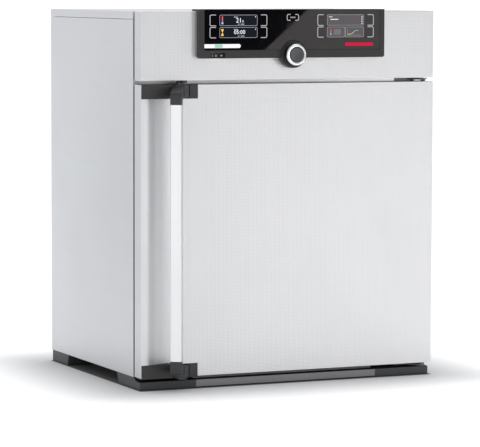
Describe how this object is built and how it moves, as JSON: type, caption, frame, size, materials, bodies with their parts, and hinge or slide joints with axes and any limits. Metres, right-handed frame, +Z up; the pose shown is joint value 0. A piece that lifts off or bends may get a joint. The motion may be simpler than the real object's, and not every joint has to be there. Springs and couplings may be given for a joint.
{
  "type": "laboratory incubator",
  "caption": "Benchtop laboratory incubator with an insulated chamber, swing-handle steel door, inner glass door, wire shelves and a raised control cockpit with a push-and-turn knob.",
  "frame": {"origin": "bottom centre of the bounding box, which includes the handle in front and the exhaust spigot behind, at floor level", "axes": "+X to the right as seen from the front, +Y to the back, +Z up; the door faces -Y"},
  "size_m": [0.745, 0.664, 0.8685],
  "materials": {
    "textured_steel": "satin",
    "casing_steel": "satin",
    "chamber_steel": "satin",
    "zinc_sheet": "matte",
    "heater_foil": "satin",
    "mineral_wool": "matte",
    "motor_paint": "satin",
    "actuator_plastic": "matte",
    "probe_steel": "polished",
    "seal_silicone": "matte",
    "pad_rubber": "matte",
    "bezel_plastic": "satin",
    "cockpit_glass": "gloss",
    "display_panel": "gloss",
    "board_green": "satin",
    "light_bar": "gloss",
    "socket_plastic": "satin",
    "port_metal": "satin",
    "plate_foil": "satin",
    "screw_steel": "polished",
    "foot_plastic": "matte",
    "plinth_plastic": "matte",
    "hinge_steel": "satin",
    "bush_bronze": "satin",
    "handle_paint": "satin",
    "pane_glass": "gloss",
    "shelf_wire": "polished",
    "stem_steel": "polished",
    "knob_black": "satin",
    "knob_chrome": "polished",
    "knob_cap": "satin",
    "rocker_plastic": "satin",
    "fan_steel": "satin"
  },
  "bodies": {
    "cabinet": {"left_side_panel": "casing_steel", "right_side_panel": "casing_steel", "top_cover": "casing_steel", "rear_panel": "zinc_sheet", "service_panel": "zinc_sheet", "base_pan": "zinc_sheet", "front_frame": "chamber_steel", "chamber_liner": "chamber_steel", "heating_elements": "heater_foil", "insulation_mats": "mineral_wool", "fan_baffle": "chamber_steel", "fan_motor": "motor_paint", "exhaust_duct": "chamber_steel", "exhaust_spigot": "bezel_plastic", "flap_motor": "actuator_plastic", "temperature_sensors": "probe_steel", "door_gasket": "seal_silicone", "glass_door_brackets": "hinge_steel", "header_panel": "textured_steel", "header_rail": "seal_silicone", "cockpit_bezel": "bezel_plastic", "cockpit_glass": "cockpit_glass", "display_modules": "display_panel", "control_board": "board_green", "energy_bar": "light_bar", "switch_module": "socket_plastic", "electronics_tray": "zinc_sheet", "power_supply": "board_green", "mains_inlet": "socket_plastic", "network_port": "port_metal", "rating_plate": "plate_foil", "rear_panel_screws": "screw_steel", "front_feet": "foot_plastic", "rear_feet": "foot_plastic", "foot_pads": "pad_rubber", "plinth_strip": "plinth_plastic", "hinge_brackets": "hinge_steel", "latch_keepers": "hinge_steel"},
    "door": {"door_skin": "textured_steel", "door_inner_panel": "chamber_steel", "door_insulation": "mineral_wool", "upper_lock_housing": "bezel_plastic", "lower_lock_housing": "bezel_plastic", "hinge_bushes": "bush_bronze", "lock_axles": "hinge_steel"},
    "handle": {"handle_bar": "handle_paint", "upper_lever": "bezel_plastic", "lower_lever": "bezel_plastic", "latch_tongues": "hinge_steel"},
    "glass_door": {"glass_pane": "pane_glass", "glass_door_fittings": "hinge_steel"},
    "shelf_upper": {"upper_shelf": "shelf_wire"},
    "shelf_lower": {"lower_shelf": "shelf_wire"},
    "stem": {"encoder_stem": "stem_steel"},
    "knob": {"knob_body": "knob_black", "knob_ring": "knob_chrome", "knob_cap": "knob_cap"},
    "rocker": {"power_rocker": "rocker_plastic"},
    "fan": {"fan_wheel": "fan_steel"},
    "flap": {"air_flap": "fan_steel"}
  },
  "joints": [
    {"name": "door_hinge", "type": "hinge", "parent": "cabinet", "child": "door", "pos_m": [0.355, -0.258, 0.3635], "axis": [0, 0, 1], "range_deg": [0, 170]},
    {"name": "handle_turn", "type": "hinge", "parent": "door", "child": "handle", "pos_m": [-0.2726, -0.27, 0.3625], "axis": [0, 0, 1], "range_deg": [0, 60]},
    {"name": "glass_door_hinge", "type": "hinge", "parent": "cabinet", "child": "glass_door", "pos_m": [0.274, -0.214, 0.36035], "axis": [0, 0, 1], "range_deg": [0, 95]},
    {"name": "upper_shelf_slide", "type": "slide", "parent": "cabinet", "child": "shelf_upper", "axis": [0, -1, 0], "range_m": [0, 0.012]},
    {"name": "lower_shelf_slide", "type": "slide", "parent": "cabinet", "child": "shelf_lower", "axis": [0, -1, 0], "range_m": [0, 0.012]},
    {"name": "knob_push", "type": "slide", "parent": "cabinet", "child": "stem", "axis": [0, 1, 0], "range_m": [0, 0.0015], "stiffness_N_per_m": 900, "springref_m": -0.0015},
    {"name": "knob_turn", "type": "hinge", "parent": "stem", "child": "knob", "pos_m": [0, -0.296, 0.7645], "axis": [0, 1, 0], "continuous": true},
    {"name": "power_rocker_tilt", "type": "hinge", "parent": "cabinet", "child": "rocker", "pos_m": [-0.196, -0.283, 0.7715], "axis": [0, 1, 0], "range_deg": [-14, 0]},
    {"name": "fan_spin", "type": "hinge", "parent": "cabinet", "child": "fan", "pos_m": [0, 0.212, 0.36035], "axis": [0, 1, 0], "continuous": true},
    {"name": "air_flap_turn", "type": "hinge", "parent": "cabinet", "child": "flap", "pos_m": [0.16, 0.266, 0.53035], "axis": [0, 0, 1], "range_deg": [0, 90]}
  ],
  "couplings": [
    {"joint": "glass_door_hinge", "follows": "door_hinge", "ratio": 0.55882}
  ]
}
